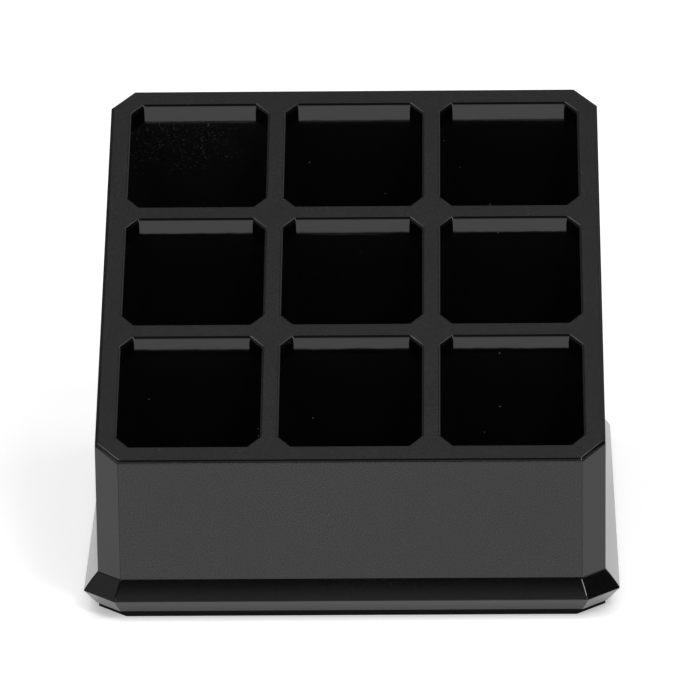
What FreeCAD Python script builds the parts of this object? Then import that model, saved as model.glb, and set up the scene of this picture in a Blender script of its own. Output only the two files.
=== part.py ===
import FreeCAD, Part
import math
import os

# Slant-topped compartment organiser with nine pockets, built from bonded gloss acrylic sheet.
# Frame: millimetres, +Z up, origin on the table at the centre of the footprint.
# The low side, the front, faces -Y; the deck rises towards +Y.

# ---- body -------------------------------------------------------------------------------
BODY_SIZE = 92.0          # square body, outer face to outer face
BODY_CORNER = 4.3         # leg of the 45 degree cut at each body corner
FRONT_TOP_Z = 29.8        # height of the front top arris above the table
DECK_SLOPE_DEG = 24.0     # deck rise from front to rear
DECK_THICKNESS = 3.0      # measured square to the slope
WALL_THICKNESS = 2.5      # the eight upright panels
BODY_ARRIS_INSET = 0.5    # bevel round the deck: its width in plan
BODY_ARRIS_DROP = 0.38    # and its depth below the deck face

# ---- pockets ----------------------------------------------------------------------------
POCKET_SIZE = 25.8        # clear width in plan, both ways
POCKET_CORNER = 2.3       # leg of the 45 degree cut in each pocket corner
POCKET_PITCH = 29.2       # centre to centre in plan, both ways
POCKET_SHIFT = 0.1        # the grid of pockets sits this much towards the front
CUP_WALL = 1.2            # wall and floor of each pocket cup
MOUTH_ARRIS_INSET = 0.35  # bevel round each mouth: its width in plan
MOUTH_ARRIS_DROP = 0.27   # and its depth below the deck face

# ---- plinth and pad ---------------------------------------------------------------------
PAD_THICKNESS = 1.1
PAD_SIZE = 92.0           # square pad under the body
PAD_CORNER = 5.2          # leg of the 45 degree cut at each pad corner
PLINTH_THICKNESS = 6.0
PLINTH_FLAT_OVERHANG = 0.3    # flat underside of the plinth beyond the body outline
PLINTH_EDGE_OVERHANG = 2.6    # knife edge beyond the body outline
PLINTH_EDGE_HEIGHT = 2.7      # knife edge above the underside of the plinth
PLINTH_EDGE_CROWN = 0.08      # bulge at the middle of the upper bevel
PLINTH_EDGE_FACETS = 3        # flats that make the crowned bevel

# ---- derived levels ---------------------------------------------------------------------
PLINTH_BOTTOM_Z = PAD_THICKNESS
PLINTH_EDGE_Z = PLINTH_BOTTOM_Z + PLINTH_EDGE_HEIGHT
PLINTH_TOP_Z = PLINTH_BOTTOM_Z + PLINTH_THICKNESS
SLOPE = math.tan(math.radians(DECK_SLOPE_DEG))
DECK_DROP = DECK_THICKNESS / math.cos(math.radians(DECK_SLOPE_DEG))
FLOOR_RISE = POCKET_PITCH * SLOPE         # floors step up with the deck, so all pockets are equally deep
DIAGONAL_GROWTH = 2.0 - math.sqrt(2.0)    # how fast a corner cut lengthens as an octagon is offset

ROWS = ("front", "middle", "rear")
COLUMNS = ("left", "centre", "right")
WALL_NAMES = (
    "wall_front", "corner_wall_front_right", "wall_right", "corner_wall_rear_right",
    "wall_rear", "corner_wall_rear_left", "wall_left", "corner_wall_front_left",
)


def octagon(size, corner, offset=0.0, centre=(0.0, 0.0)):
    """Plan outline of a square with cut corners, anticlockwise from the front left."""
    half = size / 2.0 + offset
    inner = half - corner - offset * DIAGONAL_GROWTH
    outline = (
        (-inner, -half), (inner, -half), (half, -inner), (half, inner),
        (inner, half), (-inner, half), (-half, inner), (-half, -inner),
    )
    return [(centre[0] + x, centre[1] + y) for x, y in outline]


def deck_z(y, drop=0.0):
    """Height of the deck's top face at plan position y, lowered by drop."""
    return FRONT_TOP_Z + (y + BODY_SIZE / 2.0) * SLOPE - drop


def level_ring(outline, z):
    """Outline lifted to one height."""
    return [FreeCAD.Vector(x, y, z) for x, y in outline]


def sloped_ring(outline, drop=0.0):
    """Outline lifted onto the deck's top face, or onto a face parallel to it."""
    return [FreeCAD.Vector(x, y, deck_z(y, drop)) for x, y in outline]


def face(points):
    return Part.Face(Part.makePolygon(list(points) + [points[0]]))


def solid_from_faces(faces):
    solid = Part.makeSolid(Part.makeShell(faces))
    if solid.Volume < 0.0:
        solid.reverse()
    return solid


def stack(rings):
    """Closed solid through rings of matching points, lowest ring first."""
    faces = [face(rings[0][::-1]), face(rings[-1])]
    count = len(rings[0])
    for low, high in zip(rings, rings[1:]):
        for i in range(count):
            j = (i + 1) % count
            faces.append(face([low[i], low[j], high[j], high[i]]))
    return solid_from_faces(faces)


def panel(outer_low, outer_high, inner_low, inner_high, i):
    """Upright panel between corners i and i + 1, mitred against both neighbours and the deck."""
    j = (i + 1) % len(outer_low)
    outer = [outer_low[i], outer_low[j], outer_high[j], outer_high[i]]
    inner = [inner_low[i], inner_low[j], inner_high[j], inner_high[i]]
    faces = [face(outer), face(inner[::-1])]
    for k in range(4):
        n = (k + 1) % 4
        faces.append(face([outer[k], inner[k], inner[n], outer[n]]))
    return solid_from_faces(faces)


def body_envelope():
    """Outside of the body, with the arris round the deck broken by a small bevel."""
    outline = octagon(BODY_SIZE, BODY_CORNER)
    inset = octagon(BODY_SIZE, BODY_CORNER, -BODY_ARRIS_INSET)
    rings = [level_ring(outline, PLINTH_TOP_Z), sloped_ring(outline, BODY_ARRIS_DROP), sloped_ring(inset)]
    return stack(rings)


def pocket_centre(row, column):
    return ((column - 1) * POCKET_PITCH, (row - 1) * POCKET_PITCH - POCKET_SHIFT)


def mouth_cutter(centre):
    """Vertical opening through the deck, flared at the top face to break its arris."""
    clear = octagon(POCKET_SIZE, POCKET_CORNER, 0.0, centre)
    flare = octagon(POCKET_SIZE, POCKET_CORNER, 2.0 * MOUTH_ARRIS_INSET, centre)
    rings = [sloped_ring(clear, 2.0 * DECK_DROP), sloped_ring(clear, MOUTH_ARRIS_DROP),
             sloped_ring(flare, -MOUTH_ARRIS_DROP)]
    return stack(rings)


def make_deck(envelope):
    """Slanted plate with a mitred rim and nine octagonal mouths."""
    top = sloped_ring(octagon(BODY_SIZE, BODY_CORNER))
    underside = sloped_ring(octagon(BODY_SIZE, BODY_CORNER, -WALL_THICKNESS), DECK_DROP)
    deck = stack([underside, top]).common(envelope)
    for row in range(len(ROWS)):
        for column in range(len(COLUMNS)):
            deck = deck.cut(mouth_cutter(pocket_centre(row, column)))
    return deck


def make_walls(envelope):
    outer = octagon(BODY_SIZE, BODY_CORNER)
    inner = octagon(BODY_SIZE, BODY_CORNER, -WALL_THICKNESS)
    rings = (level_ring(outer, PLINTH_TOP_Z), sloped_ring(outer),
             level_ring(inner, PLINTH_TOP_Z), sloped_ring(inner, DECK_DROP))
    return {name: panel(*rings, i).common(envelope) for i, name in enumerate(WALL_NAMES)}


def make_cup(row, column):
    """Octagonal cup with a flat floor and a sloped lip bonded under the deck.

    The front row stands on the plinth and each row behind sits one step higher.
    """
    centre = pocket_centre(row, column)
    floor_z = PLINTH_TOP_Z + CUP_WALL + row * FLOOR_RISE
    outside = octagon(POCKET_SIZE, POCKET_CORNER, CUP_WALL, centre)
    inside = octagon(POCKET_SIZE, POCKET_CORNER, 0.0, centre)
    shell = stack([level_ring(outside, floor_z - CUP_WALL), sloped_ring(outside, DECK_DROP)])
    hollow = stack([level_ring(inside, floor_z), sloped_ring(inside)])
    return shell.cut(hollow)


def crowned_bevel():
    """Rings up the plinth's upper bevel, from the knife edge to the body, on a shallow arc."""
    run, rise = -PLINTH_EDGE_OVERHANG, PLINTH_TOP_Z - PLINTH_EDGE_Z
    length = math.hypot(run, rise)
    rings = []
    for step in range(PLINTH_EDGE_FACETS + 1):
        part = step / PLINTH_EDGE_FACETS
        bulge = 4.0 * PLINTH_EDGE_CROWN * part * (1.0 - part)
        overhang = PLINTH_EDGE_OVERHANG + run * part + bulge * rise / length
        z = PLINTH_EDGE_Z + rise * part - bulge * run / length
        rings.append(level_ring(octagon(BODY_SIZE, BODY_CORNER, overhang), z))
    return rings


def make_plinth():
    """Flat plate whose edge is bevelled from above and below to a knife edge."""
    underside = octagon(BODY_SIZE, BODY_CORNER, PLINTH_FLAT_OVERHANG)
    return stack([level_ring(underside, PLINTH_BOTTOM_Z)] + crowned_bevel())


def make_pad():
    outline = octagon(PAD_SIZE, PAD_CORNER)
    return stack([level_ring(outline, 0.0), level_ring(outline, PLINTH_BOTTOM_Z)])


def build():
    envelope = body_envelope()
    nodes = {"deck_plate": make_deck(envelope)}
    nodes.update(make_walls(envelope))
    for row, row_name in enumerate(ROWS):
        for column, column_name in enumerate(COLUMNS):
            nodes["pocket_cup_" + row_name + "_" + column_name] = make_cup(row, column)
    nodes["plinth_plate"] = make_plinth()
    nodes["non_slip_pad"] = make_pad()
    return nodes


os.makedirs("parts", exist_ok=True)
for node_name, shape in build().items():
    solid = shape.Solids[0]
    solid.exportStep("parts/" + node_name + ".step")
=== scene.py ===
import math

import bpy
from mathutils import Matrix, Vector


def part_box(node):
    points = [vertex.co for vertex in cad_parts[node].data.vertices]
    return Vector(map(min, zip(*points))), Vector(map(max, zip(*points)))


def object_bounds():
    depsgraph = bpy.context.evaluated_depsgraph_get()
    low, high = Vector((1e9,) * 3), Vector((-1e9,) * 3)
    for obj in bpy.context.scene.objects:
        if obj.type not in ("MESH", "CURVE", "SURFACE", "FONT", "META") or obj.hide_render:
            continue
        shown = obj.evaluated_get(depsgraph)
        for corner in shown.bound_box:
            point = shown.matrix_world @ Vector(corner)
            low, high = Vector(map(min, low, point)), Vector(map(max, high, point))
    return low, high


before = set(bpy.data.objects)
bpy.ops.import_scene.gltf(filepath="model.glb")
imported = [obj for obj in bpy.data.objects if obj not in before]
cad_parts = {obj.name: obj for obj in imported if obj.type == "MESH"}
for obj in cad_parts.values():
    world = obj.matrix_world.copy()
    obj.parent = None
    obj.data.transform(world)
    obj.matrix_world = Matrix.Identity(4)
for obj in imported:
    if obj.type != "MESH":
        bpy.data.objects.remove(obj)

cad_low, cad_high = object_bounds()
MM = 0.001

# ------------------------------------------------------------------ node helpers
class Graph:
    """Short calls for building a node tree."""

    def __init__(self, tree):
        self.tree = tree
        tree.nodes.clear()

    def add(self, kind, inputs=None, **settings):
        node = self.tree.nodes.new(kind)
        for key, value in settings.items():
            setattr(node, key, value)
        for key, value in (inputs or {}).items():
            self.put(node.inputs[key], value)
        return node

    def put(self, socket, value):
        if isinstance(value, bpy.types.NodeSocket):
            self.tree.links.new(value, socket)
        else:
            socket.default_value = value

    def math(self, operation, a, b=0.0):
        return self.add("ShaderNodeMath", {0: a, 1: b}, operation=operation).outputs[0]

    def grey(self, value):
        return self.add("ShaderNodeCombineColor", {0: value, 1: value, 2: value}).outputs[0]

    def ramp(self, value, low, high, to_low=0.0, to_high=1.0, kind="SMOOTHSTEP"):
        node = self.add("ShaderNodeMapRange", {"Value": value, "From Min": low, "From Max": high,
                                               "To Min": to_low, "To Max": to_high},
                        interpolation_type=kind)
        return node.outputs["Result"]

    def noise(self, vector, scale, detail=3.0, roughness=0.5):
        node = self.add("ShaderNodeTexNoise", {"Vector": vector, "Scale": scale, "Detail": detail,
                                               "Roughness": roughness})
        return node.outputs["Fac"]


# ------------------------------------------------------------------ materials
# texture scales, in cells or waves per metre
DUST_CELLS = 700.0
GRAIN_SCALE = 4200.0
MOTTLE_SCALE = 60.0
WAVE_SCALE = 55.0
RIPPLE_SCALE = 330.0
SKIN_SCALE = 2600.0
MIST_GRAINS = 3300.0
MIST_CLUMPS = 500.0
RUBBER_CELLS = 3200.0
RUBBER_MOTTLE = 400.0

SEED_SPREAD = (1.0, 0.7, 1.3)              # how a seed moves the textures along each axis
DUST_THRESHOLD = 0.93                      # a cell holds a speck when its draw is above this
DUST_REACH = (0.03, 0.09)                  # speck radius, as a share of a cell
DUST_ALBEDO = 0.05
DUST_ROUGHNESS = 0.4
GRAIN_RANGE = (0.42, 0.58)                 # part of the noise that goes from no film to full film
MOTTLE_RANGE = (0.35, 0.65)
MOTTLE_GAIN = (0.85, 1.15)                  # slow variation of film and roughness
UPWARD = (0.6, 0.85)                       # normal's height at which a face starts to count as a top
SCRATCH_TURNS = (0.5, 2.1)
SCRATCH_STRETCH = (40.0, 1800.0, 1800.0)
SCRATCH_RANGE = (0.70, 0.78)
SCRATCH_ROUGHNESS = 0.05
SKIN_HEIGHT = 0.0004                       # millimetres
ACRYLIC_IOR = 1.49
WAX = (("IOR", 1.31), ("Coat Weight", 0.75), ("Coat IOR", 1.33))

MIST_DEPTH = (13.0, 6.0)                   # millimetres below the cup's lip
MIST_SIDE = (13.0, 5.0)                    # millimetres from the cup's right side
MIST_SIDE_LEAST = 0.15
MIST_SPOT = (0.15, 0.45)                   # a spot's full and outer radius, as shares of a cell
MIST_RARITY = 3.0                          # the higher, the fewer spots are bright
MIST_CLUMP_RANGE = (0.38, 0.70)
MIST_ALBEDO = 0.12

RUBBER_RANGE = (0.3, 0.7)
RUBBER_ALBEDO = (0.002, 0.006)
RUBBER_ROUGHNESS = (0.72, 0.88)
RUBBER_SKIN = 0.08 * MM
RUBBER_SPECULAR = 0.12


def acrylic(name, body=0.0012, film=0.006, roughness=0.045, ior=ACRYLIC_IOR, wave=0.03, ripple=0.0,
            dust=1.0, mist=None, waxed=False, handled_top=False, seed=0.0):
    """Polished black acrylic: sheet waviness, a thin grainy film, hairline scratches and dust.

    film is the albedo of the grain, wave and ripple are heights in millimetres, and mist is a
    function that adds an extra albedo to the graph. handled_top keeps the film to upward faces.
    """
    material = bpy.data.materials.new(name)
    material.use_nodes = True
    g = Graph(material.node_tree)
    coordinates = g.add("ShaderNodeTexCoord")
    place = coordinates.outputs["Object"]
    offset = tuple(seed * spread for spread in SEED_SPREAD)
    moved = g.add("ShaderNodeVectorMath", {0: place, 1: offset}, operation="ADD").outputs[0]

    # dust: a few cells in a fine grid each hold one pale speck
    cells = g.add("ShaderNodeTexVoronoi", {"Vector": moved, "Scale": DUST_CELLS, "Randomness": 1.0})
    draw = g.add("ShaderNodeSeparateColor", {"Color": cells.outputs["Color"]})
    chosen = g.math("GREATER_THAN", draw.outputs[0], DUST_THRESHOLD)
    reach = g.ramp(draw.outputs[1], 0.0, 1.0, *DUST_REACH, "LINEAR")
    speck = g.math("LESS_THAN", cells.outputs["Distance"], reach)
    dusting = g.math("MULTIPLY", speck, chosen)

    # albedo: body colour, grainy film that varies slowly, dust
    grain = g.ramp(g.noise(moved, GRAIN_SCALE, 2.0, 0.6), *GRAIN_RANGE, 0.0, film, "LINEAR")
    mottle = g.ramp(g.noise(moved, MOTTLE_SCALE, 3.0, 0.5), *MOTTLE_RANGE, *MOTTLE_GAIN, "LINEAR")
    if handled_top:
        facing = g.add("ShaderNodeSeparateXYZ", {"Vector": coordinates.outputs["Normal"]}).outputs["Z"]
        grain = g.math("MULTIPLY", grain, g.ramp(facing, *UPWARD))
    albedo = g.math("ADD", g.math("MULTIPLY", grain, mottle), body)
    albedo = g.math("ADD", albedo, g.math("MULTIPLY", dusting, DUST_ALBEDO * dust))
    if mist:
        albedo = g.math("ADD", albedo, mist(g, place))

    # roughness: hairline scratches are stretched noise in two directions
    scratch = None
    for turn in SCRATCH_TURNS:
        mapped = g.add("ShaderNodeMapping", {"Vector": moved, "Rotation": (turn, turn * 0.6, turn),
                                             "Scale": SCRATCH_STRETCH})
        line = g.ramp(g.noise(mapped.outputs[0], 1.0, 1.0, 0.4), *SCRATCH_RANGE)
        scratch = line if scratch is None else g.math("MAXIMUM", scratch, line)
    gloss = g.math("MULTIPLY", mottle, roughness)
    gloss = g.math("ADD", gloss, g.math("MULTIPLY", scratch, SCRATCH_ROUGHNESS))
    gloss = g.math("ADD", gloss, g.math("MULTIPLY", dusting, DUST_ROUGHNESS))

    height = g.math("MULTIPLY", g.noise(moved, WAVE_SCALE, 2.0, 0.4), wave)
    height = g.math("ADD", height, g.math("MULTIPLY", g.noise(moved, RIPPLE_SCALE, 1.0, 0.4), ripple))
    height = g.math("ADD", height, g.math("MULTIPLY", g.noise(moved, SKIN_SCALE, 2.0, 0.6), SKIN_HEIGHT))
    bump = g.add("ShaderNodeBump", {"Height": height, "Strength": 1.0, "Distance": MM})
    shader = g.add("ShaderNodeBsdfPrincipled", {"Base Color": g.grey(albedo), "Roughness": gloss,
                                                "IOR": ior, "Normal": bump.outputs[0]})
    if waxed:
        for socket, value in WAX:
            shader.inputs[socket].default_value = value
        shader.inputs["Coat Roughness"].default_value = roughness
    g.add("ShaderNodeOutputMaterial", {"Surface": shader.outputs[0]})
    return material


def solvent_mist(node):
    """Returns the mist on the back of one cup: fine speckle under the lip, fading downwards."""
    low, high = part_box(node)
    depths = [high[2] - depth * MM for depth in MIST_DEPTH]
    sides = [high[0] - side * MM for side in MIST_SIDE]

    def mist(g, place):
        axes = g.add("ShaderNodeSeparateXYZ", {"Vector": place})
        depth = g.ramp(axes.outputs["Z"], *depths)
        side = g.ramp(axes.outputs["X"], *sides, 1.0, MIST_SIDE_LEAST)
        grains = g.add("ShaderNodeTexVoronoi", {"Vector": place, "Scale": MIST_GRAINS})
        draw = g.add("ShaderNodeSeparateColor", {"Color": grains.outputs["Color"]}).outputs[0]
        spots = g.math("MULTIPLY", g.ramp(grains.outputs["Distance"], *MIST_SPOT, 1.0, 0.0),
                       g.math("POWER", draw, MIST_RARITY))
        clumps = g.ramp(g.noise(place, MIST_CLUMPS, 3.0, 0.7), *MIST_CLUMP_RANGE)
        amount = g.math("MULTIPLY", g.math("MULTIPLY", depth, side), g.math("MULTIPLY", spots, clumps))
        return g.math("MULTIPLY", amount, MIST_ALBEDO)

    return mist


def rubber(name):
    """Matt black closed-cell rubber with a fine open skin."""
    material = bpy.data.materials.new(name)
    material.use_nodes = True
    g = Graph(material.node_tree)
    place = g.add("ShaderNodeTexCoord").outputs["Object"]
    cells = g.add("ShaderNodeTexVoronoi", {"Vector": place, "Scale": RUBBER_CELLS}).outputs["Distance"]
    mottle = g.noise(place, RUBBER_MOTTLE, 3.0)
    shade = g.ramp(mottle, *RUBBER_RANGE, *RUBBER_ALBEDO, "LINEAR")
    rough = g.ramp(mottle, *RUBBER_RANGE, *RUBBER_ROUGHNESS, "LINEAR")
    bump = g.add("ShaderNodeBump", {"Height": cells, "Strength": 0.5, "Distance": RUBBER_SKIN})
    shader = g.add("ShaderNodeBsdfPrincipled", {"Base Color": g.grey(shade), "Roughness": rough,
                                                "IOR": 1.5, "Specular IOR Level": RUBBER_SPECULAR,
                                                "Normal": bump.outputs[0]})
    g.add("ShaderNodeOutputMaterial", {"Surface": shader.outputs[0]})
    return material


hazed_cup = "pocket_cup_rear_left"
deck = acrylic("acrylic_deck", body=0.0015, film=0.0125, ior=1.54, wave=0.030, ripple=0.005,
               handled_top=True)
wall = acrylic("acrylic_wall", body=0.0006, film=0.0158, wave=0.010, seed=0.13)
corner = acrylic("acrylic_corner", body=0.0002, film=0.0078, wave=0.010, seed=0.22)
plinth = acrylic("acrylic_plinth", film=0.004, roughness=0.035, wave=0.006, waxed=True, seed=0.31)
cup = acrylic("acrylic_cup", body=0.0022, film=0.0015, wave=0.012, ripple=0.0015, dust=4.0,
              seed=0.77)
cup_misted = acrylic("acrylic_cup_misted", body=0.003, film=0.003, wave=0.015, ripple=0.003,
                     dust=4.0, mist=solvent_mist(hazed_cup), seed=1.4)
pad = rubber("rubber_pad")


def dress(node, material):
    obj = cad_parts[node]
    for slot in obj.material_slots:
        slot.link = "OBJECT"
        slot.material = material
    if not obj.material_slots:
        obj.data.materials.append(material)


# ------------------------------------------------------------------ edges
EDGE_SEGMENTS = 4
EDGE_ANGLE = math.radians(15)              # edges that turn by more than this are rounded
FLAT_ANGLE = math.radians(0.5)             # faces that turn by less than this are merged
WELD_DISTANCE = 1e-6                       # metres
LEVEL_TOLERANCE = 0.3 * MM                 # an edge slopes when its ends differ by more than this
KNIFE_EDGE_SHARE = 0.4                     # height just below the knife edge, as a share of the plinth
LARGE_FACE_WEIGHT = 100                    # the largest faces set the shading normals

# radius of the rounding on the edges of each kind of piece
PAD_ROUNDING = 0.15 * MM
PLINTH_ROUNDING = 0.10 * MM
MITRE_ROUNDING = 0.35 * MM                 # the plinth's upper corner mitres
DECK_ROUNDING = 0.08 * MM
PANEL_ROUNDING = 0.11 * MM


def mesh_group(name):
    """New geometry node group with one mesh in and one out; returns its graph and the mesh."""
    tree = bpy.data.node_groups.new(name, "GeometryNodeTree")
    tree.interface.new_socket("Mesh", in_out="INPUT", socket_type="NodeSocketGeometry")
    tree.interface.new_socket("Mesh", in_out="OUTPUT", socket_type="NodeSocketGeometry")
    g = Graph(tree)
    return g, g.add("NodeGroupInput").outputs[0]


def shading_group(name, smooth, forget_normals):
    """Geometry nodes that set flat or smooth shading, for use between other modifiers."""
    g, mesh = mesh_group(name)
    if forget_normals:
        mesh = g.add("GeometryNodeRemoveAttribute", {"Geometry": mesh, "Name": "custom_normal"}).outputs[0]
    mesh = g.add("GeometryNodeSetShadeSmooth", {"Geometry": mesh, "Shade Smooth": smooth}).outputs[0]
    g.add("NodeGroupOutput", {0: mesh})
    return g.tree


def mitre_group(name, least_z):
    """Geometry nodes that give full bevel weight to the sloping edges above one height."""
    g, mesh = mesh_group(name)
    ends = g.add("GeometryNodeInputMeshEdgeVertices")
    first, second = (g.add("ShaderNodeSeparateXYZ", {0: ends.outputs[end]}).outputs["Z"]
                     for end in ("Position 1", "Position 2"))
    climb = g.math("ABSOLUTE", g.math("SUBTRACT", first, second))
    sloping = g.math("GREATER_THAN", climb, LEVEL_TOLERANCE)
    above = g.math("GREATER_THAN", g.math("MINIMUM", first, second), least_z)
    weight = g.math("MULTIPLY", sloping, above)
    mesh = g.add("GeometryNodeStoreNamedAttribute",
                 {"Geometry": mesh, "Name": "bevel_weight_edge", "Value": weight},
                 data_type="FLOAT", domain="EDGE").outputs[0]
    g.add("NodeGroupOutput", {0: mesh})
    return g.tree


flat_shading = shading_group("flat_shading", smooth=False, forget_normals=True)
smooth_shading = shading_group("smooth_shading", smooth=True, forget_normals=False)


def add_bevel(obj, name, width, limit):
    edge = obj.modifiers.new(name, "BEVEL")
    edge.width = width
    edge.segments = EDGE_SEGMENTS
    edge.limit_method = limit
    edge.angle_limit = EDGE_ANGLE


def soften(node, width=0.0, mitre_width=0.0):
    """Flat faces and, with a width, tiny rounding on every edge, which catches light as polish does."""
    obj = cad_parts[node]
    obj.modifiers.new("clean", "NODES").node_group = flat_shading
    if not width:
        return
    weld = obj.modifiers.new("weld", "WELD")
    weld.merge_threshold = WELD_DISTANCE
    flat = obj.modifiers.new("flat", "DECIMATE")
    flat.decimate_type = "DISSOLVE"
    flat.angle_limit = FLAT_ANGLE
    if mitre_width:
        low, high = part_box(node)
        knife_z = low[2] + KNIFE_EDGE_SHARE * (high[2] - low[2])
        obj.modifiers.new("mark_mitres", "NODES").node_group = mitre_group("mark_mitres", knife_z)
        add_bevel(obj, "mitres", mitre_width, "WEIGHT")
    add_bevel(obj, "edges", width, "ANGLE")
    obj.modifiers.new("smooth", "NODES").node_group = smooth_shading
    weighted = obj.modifiers.new("weighted", "WEIGHTED_NORMAL")
    weighted.weight = LARGE_FACE_WEIGHT


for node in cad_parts:
    if node == "non_slip_pad":
        dress(node, pad)
        soften(node, PAD_ROUNDING)
    elif node == "plinth_plate":
        dress(node, plinth)
        soften(node, PLINTH_ROUNDING, MITRE_ROUNDING)
    elif node == "deck_plate":
        dress(node, deck)
        soften(node, DECK_ROUNDING)
    elif node.startswith("pocket_cup"):
        dress(node, cup_misted if node == hazed_cup else cup)
        soften(node)
    else:
        dress(node, corner if node.startswith("corner") else wall)
        soften(node, PANEL_ROUNDING)


# ------------------------------------------------------------------ floor
FLOOR_SIZE = 30.0
FLOOR_DROP = 0.02 * MM                     # keeps the floor just clear of the pad
FLOOR_MOTTLE = 6.0                         # waves per metre
FLOOR_RANGE = (0.3, 0.7)
FLOOR_ALBEDO = (0.88, 0.90)
FLOOR_ROUGHNESS = 0.9
FLOOR_GLOW = 0.54
PAINTED_SHADOW_GLOW = 0.30                           # painted contact shadow: the glow is weaker close to the foot of the object
PAINTED_SHADOW_REACH = (-4 * MM, 2 * MM)             # from the plinth's edge; the span of the painted contact shadow


def make_floor():
    mesh = bpy.data.meshes.new("floor")
    half = FLOOR_SIZE / 2
    z = cad_low.z - FLOOR_DROP
    corners = [(-half, -half, z), (half, -half, z), (half, half, z), (-half, half, z)]
    mesh.from_pydata(corners, [], [(0, 1, 2, 3)])
    obj = bpy.data.objects.new("floor", mesh)
    bpy.context.scene.collection.objects.link(obj)
    material = bpy.data.materials.new("pale_floor")
    material.use_nodes = True
    g = Graph(material.node_tree)
    place = g.add("ShaderNodeTexCoord").outputs["Object"]
    shade = g.ramp(g.noise(place, FLOOR_MOTTLE, 2.0), *FLOOR_RANGE, *FLOOR_ALBEDO, "LINEAR")
    axes = g.add("ShaderNodeSeparateXYZ", {"Vector": place})
    away = g.math("MAXIMUM", g.math("ABSOLUTE", axes.outputs["X"]), g.math("ABSOLUTE", axes.outputs["Y"]))
    near, far = (cad_high.x + reach for reach in PAINTED_SHADOW_REACH)
    # painted contact shadow: the floor's glow is dimmed close to the object's foot, standing in for the
    # light the object blocks
    glow_and_painted_shadow = g.ramp(away, near, far, PAINTED_SHADOW_GLOW, FLOOR_GLOW)
    shader = g.add("ShaderNodeBsdfPrincipled", {"Base Color": g.grey(shade),
                                                "Roughness": FLOOR_ROUGHNESS,
                                                "Specular IOR Level": 0.0,
                                                "Emission Color": (1, 1, 1, 1),
                                                "Emission Strength": glow_and_painted_shadow})
    g.add("ShaderNodeOutputMaterial", {"Surface": shader.outputs[0]})
    mesh.materials.append(material)


make_floor()


# ------------------------------------------------------------------ studio
# radiances, and the angles of the front panel
AMBIENT = 0.03
FRONT_PANEL = 1.5
FRONT_SKIRT = 0.36
PANEL_FOOT = (11, 15)                      # degrees up: the panel starts, and is full
PANEL_CREST = (38, 50)                     # the panel fades to the skirt
SKIRT_TOP = 62                             # the skirt ends
FRONT_EDGE = (-0.60, -0.35)                # direction's Y at which the panel fades to the sides
PATCHES = (
    # azimuth, elevation, inner and outer half angle, added radiance
    (180, 80, 5, 24, 0.41),
    (180, 0, 14, 28, 1.40),
    (268, 33, 12, 26, 0.37),
    (131, 32, 8, 16, 0.36),
    (229, 31, 8, 16, 0.12),
)
SOFTBOX_DISTANCE = 1.5                     # metres
SOFTBOXES = (
    # name, azimuth, elevation, width, height, radiance
    ("left_box", 278, 71, 0.5, 0.5, 4.4),
    ("right_box", 114, 50, 0.5, 0.5, 2.0),
    ("rim_box", 80, 69, 0.36, 0.36, 3.6),
    ("key", 40, 54, 0.36, 0.5, 8.5),
)


def direction(azimuth, elevation):
    """Unit vector from the object. Azimuth 0 is towards the front, 90 to the right."""
    a, e = math.radians(azimuth), math.radians(elevation)
    return Vector((math.sin(a) * math.cos(e), -math.cos(a) * math.cos(e), math.sin(e)))


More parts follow.
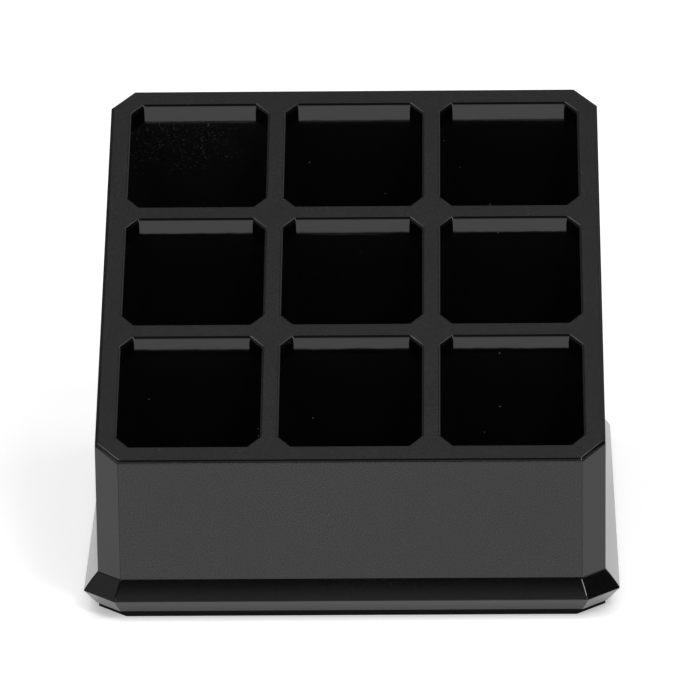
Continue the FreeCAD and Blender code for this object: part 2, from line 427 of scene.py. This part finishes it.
def make_world():
    """Dim studio with a few broad soft sources, each a patch of sky."""
    world = bpy.data.worlds.new("studio")
    bpy.context.scene.world = world
    world.use_nodes = True
    g = Graph(world.node_tree)
    toward = g.add("ShaderNodeTexCoord").outputs["Generated"]
    unit = g.add("ShaderNodeVectorMath", {0: toward}, operation="NORMALIZE").outputs[0]
    axes = g.add("ShaderNodeSeparateXYZ", {0: unit})

    # front panel: full between its foot and its crest, then a dim skirt that fades out higher up
    up = axes.outputs["Z"]
    foot, full, fading, crest_top, skirt_top = (math.sin(math.radians(angle))
                                                for angle in (*PANEL_FOOT, *PANEL_CREST, SKIRT_TOP))
    base = g.ramp(up, foot, full)
    crest = g.ramp(up, fading, crest_top, FRONT_PANEL - FRONT_SKIRT, 0.0)
    skirt = g.ramp(up, crest_top, skirt_top, FRONT_SKIRT, 0.0, "LINEAR")
    frontness = g.ramp(axes.outputs["Y"], *FRONT_EDGE, 1.0, 0.0)
    total = g.math("MULTIPLY", g.math("MULTIPLY", base, g.math("ADD", crest, skirt)), frontness)
    total = g.math("ADD", total, AMBIENT)
    for azimuth, elevation, inner, outer, added in PATCHES:
        axis = tuple(direction(azimuth, elevation))
        near = g.add("ShaderNodeVectorMath", {0: unit, 1: axis}, operation="DOT_PRODUCT").outputs["Value"]
        lobe = g.ramp(near, math.cos(math.radians(outer)), math.cos(math.radians(inner)), 0.0, added)
        total = g.math("ADD", total, lobe)
    background = g.add("ShaderNodeBackground", {"Color": (1, 1, 1, 1), "Strength": total})
    g.add("ShaderNodeOutputWorld", {"Surface": background.outputs[0]})


def softbox(name, azimuth, elevation, width, height, radiance):
    """Rectangular light aimed at the object; its power follows from the radiance wanted."""
    light = bpy.data.lights.new(name, "AREA")
    light.shape = "RECTANGLE"
    light.size, light.size_y = width, height
    light.energy = radiance * math.pi * width * height
    obj = bpy.data.objects.new(name, light)
    bpy.context.scene.collection.objects.link(obj)
    back = direction(azimuth, elevation)
    obj.location = back * SOFTBOX_DISTANCE
    obj.rotation_mode = "QUATERNION"
    obj.rotation_quaternion = back.to_track_quat("Z", "Y")


make_world()
for box in SOFTBOXES:
    softbox(*box)


# ------------------------------------------------------------------ camera
# the photo's viewpoint: degrees and metres, with lens and sensor in millimetres
CAMERA_TARGET = Vector((-0.00056, 0.0, 0.03455))
CAMERA_AZIMUTH = 1.059
CAMERA_ELEVATION = 19.605
CAMERA_ROLL = -0.697
CAMERA_DISTANCE = 1.2933
CAMERA_LENS = 358.74
CAMERA_SENSOR = 36.0
CAMERA_RANGE = (0.05, 50.0)


def make_camera():
    data = bpy.data.cameras.new("camera")
    data.lens = CAMERA_LENS
    data.sensor_width = CAMERA_SENSOR
    data.clip_start, data.clip_end = CAMERA_RANGE
    obj = bpy.data.objects.new("camera", data)
    bpy.context.scene.collection.objects.link(obj)
    back = direction(CAMERA_AZIMUTH, CAMERA_ELEVATION)
    roll = Matrix.Rotation(math.radians(CAMERA_ROLL), 3, "Z").to_quaternion()
    obj.rotation_mode = "QUATERNION"
    obj.rotation_quaternion = back.to_track_quat("Z", "Y") @ roll
    obj.location = CAMERA_TARGET + back * CAMERA_DISTANCE
    bpy.context.scene.camera = obj


make_camera()

scene = bpy.context.scene
scene.view_settings.view_transform = "Standard"
scene.view_settings.look = "None"
